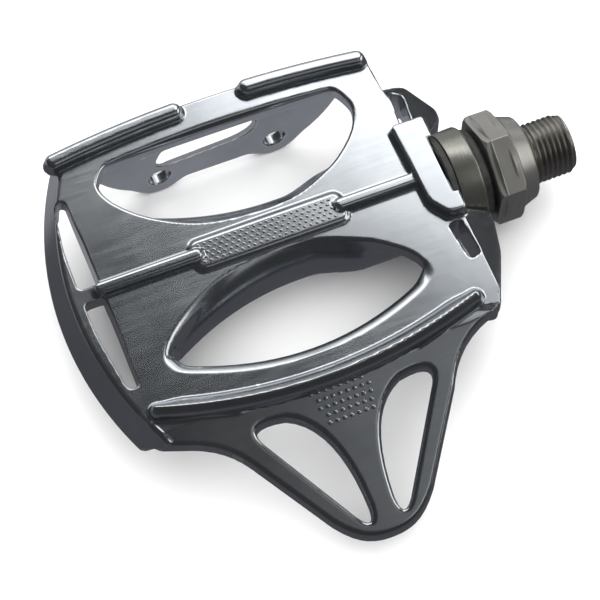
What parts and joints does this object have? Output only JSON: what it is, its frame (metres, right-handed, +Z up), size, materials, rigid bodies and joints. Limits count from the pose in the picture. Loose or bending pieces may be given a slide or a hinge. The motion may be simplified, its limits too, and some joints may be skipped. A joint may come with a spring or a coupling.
{
  "type": "bicycle pedal",
  "caption": "Left road pedal for a toe clip and strap: cast platform with raised ribs and a rear flip tab, turning on ball bearings round a threaded spindle.",
  "frame": {"origin": "centre of the spindle's threaded end face", "axes": "+X along the spindle towards the crank, +Y forward to the toe-clip side, +Z up to the shoe"},
  "size_m": [0.1252, 0.1115, 0.0273],
  "materials": {
    "cast_aluminium": "polished casting with fine brushing and light wear",
    "sleeve_alloy": "turned, satin",
    "spindle_steel": "turned steel, thinly plated",
    "race_steel": "ground bearing steel",
    "ball_steel": "polished bearing steel",
    "cage_brass": "pressed brass",
    "seal_rubber": "matt black"
  },
  "bodies": {
    "spindle": {"spindle": "spindle_steel", "inboard_inner_race": "race_steel", "outboard_inner_race": "race_steel", "lock_washer": "spindle_steel", "lock_nut": "spindle_steel"},
    "pedal": {"pedal_body": "cast_aluminium", "bearing_sleeve": "sleeve_alloy", "sleeve_face_seal": "seal_rubber", "lip_seal": "seal_rubber", "inboard_outer_race": "race_steel", "outboard_outer_race": "race_steel"},
    "inboard_ball_set": {"inboard_ball_cage": "cage_brass", "inboard_ball_01": "ball_steel", "inboard_ball_02": "ball_steel", "inboard_ball_03": "ball_steel", "inboard_ball_04": "ball_steel", "inboard_ball_05": "ball_steel", "inboard_ball_06": "ball_steel", "inboard_ball_07": "ball_steel", "inboard_ball_08": "ball_steel", "inboard_ball_09": "ball_steel", "inboard_ball_10": "ball_steel", "inboard_ball_11": "ball_steel", "inboard_ball_12": "ball_steel"},
    "outboard_ball_set": {"outboard_ball_cage": "cage_brass", "outboard_ball_01": "ball_steel", "outboard_ball_02": "ball_steel", "outboard_ball_03": "ball_steel", "outboard_ball_04": "ball_steel", "outboard_ball_05": "ball_steel", "outboard_ball_06": "ball_steel", "outboard_ball_07": "ball_steel", "outboard_ball_08": "ball_steel", "outboard_ball_09": "ball_steel", "outboard_ball_10": "ball_steel", "outboard_ball_11": "ball_steel"}
  },
  "joints": [
    {"name": "pedal_spin", "type": "hinge", "parent": "spindle", "child": "pedal", "pos_m": [0, 0, 0], "axis": [1, 0, 0], "continuous": true},
    {"name": "inboard_balls_roll", "type": "hinge", "parent": "spindle", "child": "inboard_ball_set", "pos_m": [-0.0283, 0, 0], "axis": [1, 0, 0], "continuous": true},
    {"name": "outboard_balls_roll", "type": "hinge", "parent": "spindle", "child": "outboard_ball_set", "pos_m": [-0.0842, 0, 0], "axis": [1, 0, 0], "continuous": true}
  ],
  "couplings": [
    {"joint": "inboard_balls_roll", "follows": "pedal_spin", "ratio": 0.598},
    {"joint": "outboard_balls_roll", "follows": "pedal_spin", "ratio": 0.6123}
  ]
}
